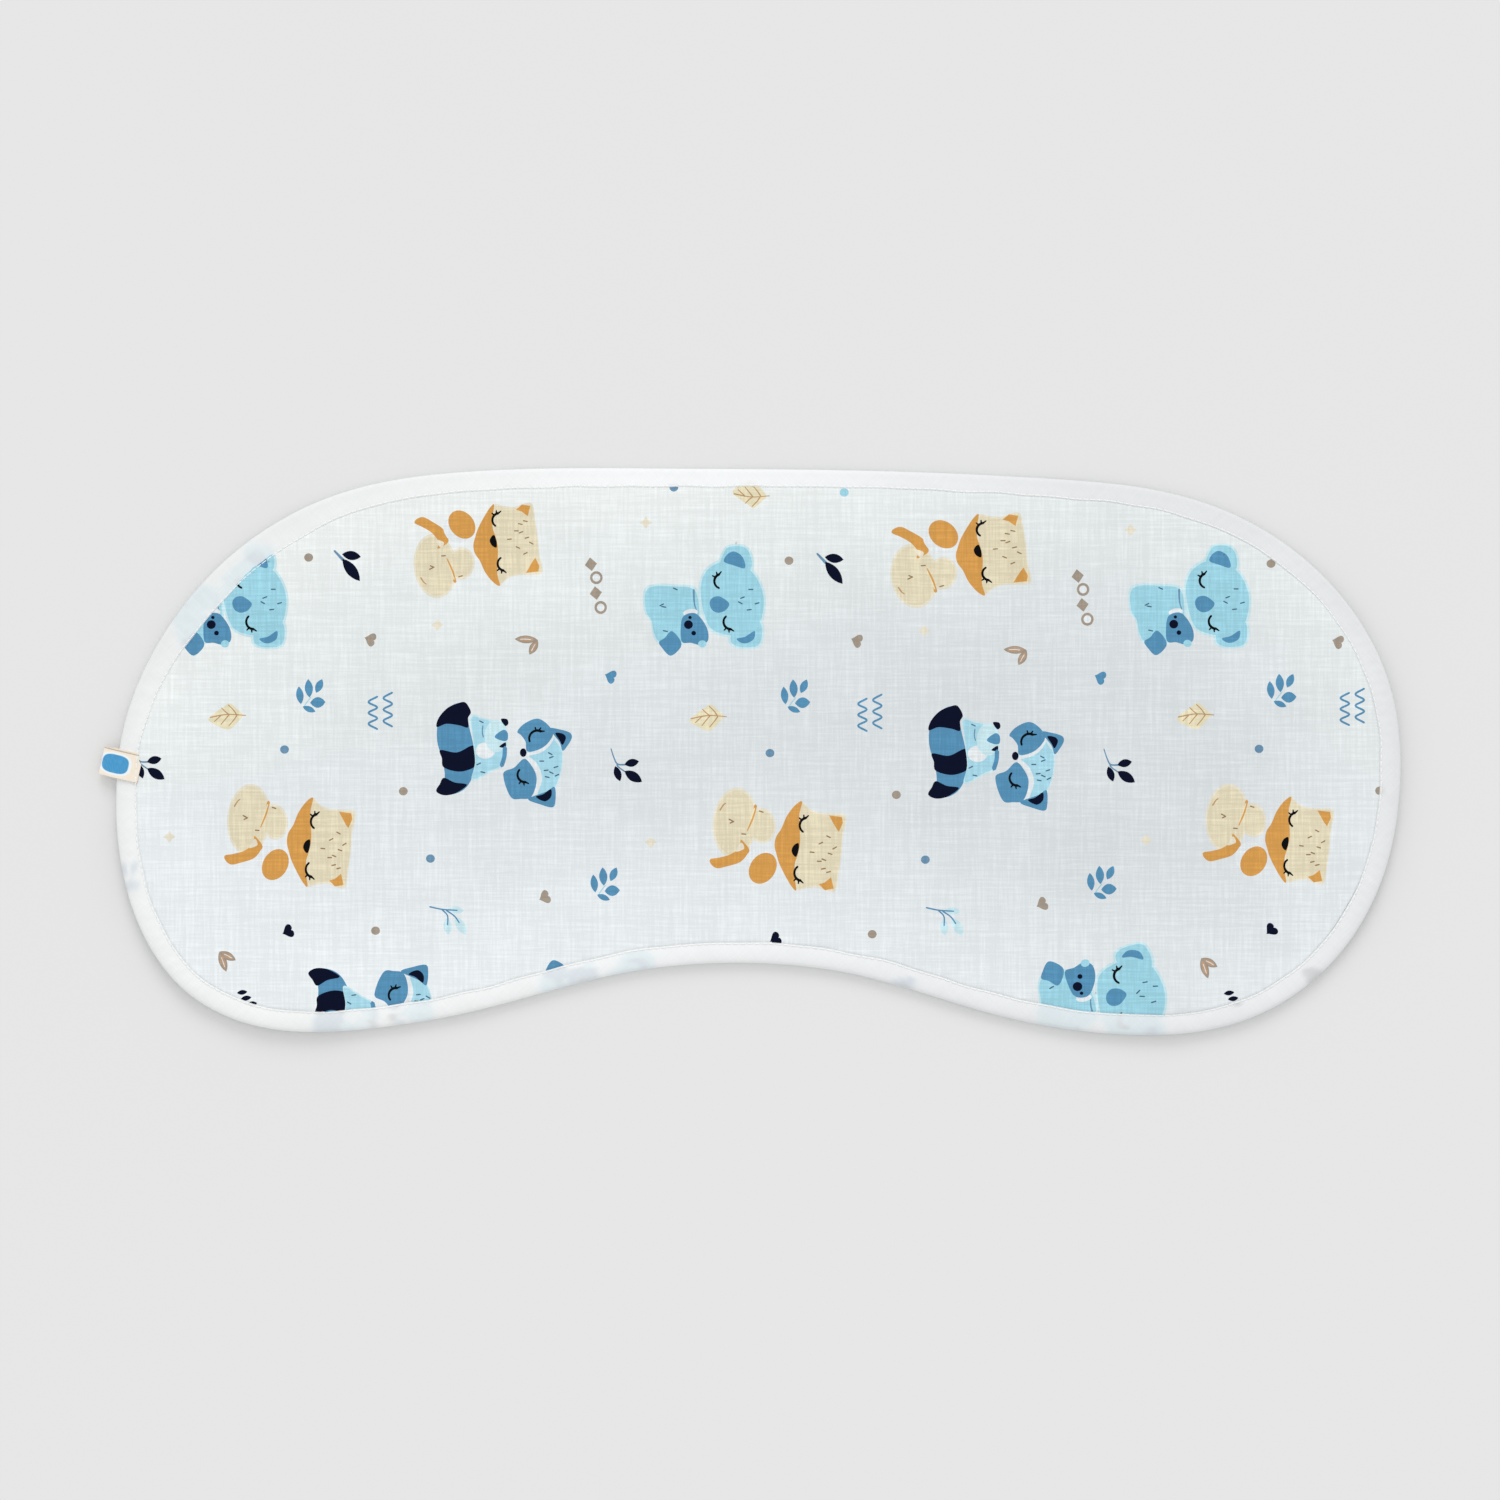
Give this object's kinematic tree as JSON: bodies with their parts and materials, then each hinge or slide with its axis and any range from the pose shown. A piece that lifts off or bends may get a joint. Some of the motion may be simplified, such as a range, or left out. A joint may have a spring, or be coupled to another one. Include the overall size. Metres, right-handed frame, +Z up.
{
  "type": "contoured burp cloth",
  "caption": "Kidney-shaped burp cloth of layered printed muslin, with a stitched binding all round its edge and a folded ribbon tab at one end.",
  "frame": {"origin": "under the middle of the box round the cloth and its label, on the surface it lies on", "axes": "+X along the cloth's length, away from the label; +Y towards the bulging long side; +Z up, out of the printed face"},
  "size_m": [0.5066, 0.2208, 0.006],
  "materials": {
    "printed_muslin": "matt slubby cotton muslin, cool white with a scattered pastel print",
    "plain_muslin": "matt slubby cotton muslin, undyed cool white",
    "bias_cotton": "fine plain-weave white cotton, cut on the bias and pressed",
    "sewing_thread": "white spun polyester thread with a slight sheen",
    "label_ribbon": "cream satin ribbon with a soft sheen"
  },
  "bodies": {
    "root": {"front_panel": "printed_muslin", "core_ply_upper": "plain_muslin", "core_ply_lower": "plain_muslin", "back_panel": "plain_muslin", "edge_binding": "bias_cotton", "needle_thread": "sewing_thread", "bobbin_thread": "sewing_thread", "label_tab": "label_ribbon"}
  },
  "joints": []
}
